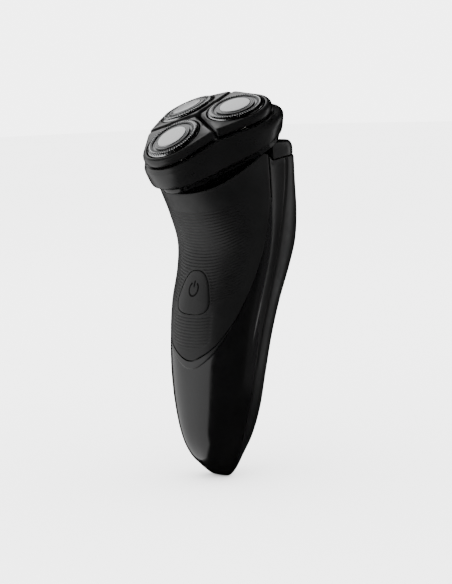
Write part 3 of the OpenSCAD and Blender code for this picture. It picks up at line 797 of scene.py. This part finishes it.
front_cover()
grip_panel()
rear_housing()
power_button()
release_button()
unit_base()
rear_shoulder()
socket_insert()
for name, turn in TURNS.items():
    place = head_rings(turn)
    # a darker copy of the same steel: painted shade for the slots and the recess between guard and cap
    shaded_ring_steel = metal(f"shaded_guard_steel_{name}", (0.11, 0.112, 0.115), (0.21, 0.212, 0.215),
                       0.28, 0.06, 0.12, 1500, place)
    tooth_steel = metal(f"tooth_steel_{name}", (0.42, 0.425, 0.43), (0.6, 0.605, 0.61),
                        0.25, 0.05, 0.12, 1500, place)
    brushed = metal(f"cap_steel_{name}", (0.44, 0.445, 0.45), (0.66, 0.665, 0.67),
                    0.30, 0.07, 0.25, 1800, place)
    pod(name, turn)
    guard(name, turn, shaded_ring_steel, tooth_steel)
    cap(name, turn, brushed, shaded_ring_steel)

# ---------------------------------------------------------------- CAD nodes that stay
KEPT = {
    DARK: ["power_switch", "motor_carrier", "cutter_frame", "lock_knob", "hinge_lug", "hinge_bracket"],
    GLOSS: ["top_plate"],
    BOARD: ["circuit_board"],
    SLEEVE: ["battery_cells"],
    BRASS: ["socket_pins"],
    MOTOR: ["motor"],
    SHAFT: ["motor_shaft", "carrier_screws", "hinge_pin"],
    WHITE: ["drive_pinion"] + [f"{kind}_{k}" for k in TURNS for kind in ("gear", "spindle", "hub")],
    BLADE: [f"cutter_{k}" for k in TURNS],
}
for material, names in KEPT.items():
    for node in names:
        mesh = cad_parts[node].data
        mesh.materials.clear()
        mesh.materials.append(material)
for node in ("top_plate", "hinge_bracket", "hinge_lug", "lock_knob", "cutter_frame"):
    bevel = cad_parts[node].modifiers.new("soft_edges", "BEVEL")
    bevel.width = 0.00018
    bevel.segments = 2
    bevel.limit_method = "ANGLE"
    bevel.angle_limit = math.radians(40)

# ---------------------------------------------------------------- floor, light and camera
FLOOR = 6.0
floor_mesh = bpy.data.meshes.new("floor")
floor_corners = [(FLOOR * x, FLOOR * y, 0) for x, y in ((-1, -1), (1, -1), (1, 1), (-1, 1))]
floor_mesh.from_pydata(floor_corners, [], [(0, 1, 2, 3)])
floor = bpy.data.objects.new("floor", floor_mesh)
floor.location = (0, 0, -0.0005)
bpy.context.scene.collection.objects.link(floor)
floor_material, floor_tree, floor_shader = new_material("floor_pale")
floor_tree.links.new(ramp(floor_tree, noise(floor_tree, 2.0), (0.86, 0.86, 0.86), (0.88, 0.88, 0.88)),
                     floor_shader.inputs["Base Color"])
floor_shader.inputs["Roughness"].default_value = 0.9
floor_shader.inputs["Specular IOR Level"].default_value = 0.0
floor_mesh.materials.append(floor_material)

world = bpy.data.worlds.new("studio")
bpy.context.scene.world = world
world.use_nodes = True
background = world.node_tree.nodes["Background"]
background.inputs["Color"].default_value = (1, 1, 1, 1)
background.inputs["Strength"].default_value = 5.0
world.cycles_visibility.glossy = False
floor.visible_glossy = False
floor.visible_shadow = False


def softbox(name, place, width, height, radiance, target=(0, 0, 0.09)):
    """Rectangular light that faces the object; radiance is the brightness of its face."""
    light = bpy.data.lights.new(name, "AREA")
    light.shape = "RECTANGLE"
    light.size, light.size_y = width, height
    light.energy = radiance * math.pi * width * height
    lamp = bpy.data.objects.new(name, light)
    lamp.location = place
    lamp.rotation_euler = (Vector(target) - Vector(place)).to_track_quat("-Z", "Y").to_euler()
    bpy.context.scene.collection.objects.link(lamp)


softbox("front_left", (-0.84, -0.66, -0.15), 2.05, 2.1, 1.35)
softbox("heads", (-0.75, 0.28, 0.80), 0.8, 0.6, 1.8, (0, 0, 0.15))
softbox("rear_right", (0.55, 1.05, 0.25), 0.3, 1.2, 1.6)
softbox("right_fill", (1.0, 0.7, 0.1), 1.2, 1.2, 0.14)

AZIMUTH, ELEVATION, ROLL, DISTANCE = 45.94, 7.05, -1.99, 0.66
TARGET = Vector((0.00037, 0.00625, 0.07668))
FOCAL_MM = 96.787
a, e, roll = (math.radians(v) for v in (AZIMUTH, ELEVATION, ROLL))
back = Vector((math.sin(a) * math.cos(e), -math.cos(a) * math.cos(e), math.sin(e)))
right0 = Vector((math.cos(a), math.sin(a), 0))
up0 = back.cross(right0)
right = right0 * math.cos(roll) + up0 * math.sin(roll)
up = -right0 * math.sin(roll) + up0 * math.cos(roll)
camera = bpy.data.cameras.new("camera")
camera.sensor_width = 36
camera.lens = FOCAL_MM
eye = bpy.data.objects.new("camera", camera)
turned = Matrix((right, up, back)).transposed().to_4x4()
eye.matrix_world = Matrix.Translation(TARGET + back * DISTANCE) @ turned
bpy.context.scene.collection.objects.link(eye)
bpy.context.scene.camera = eye
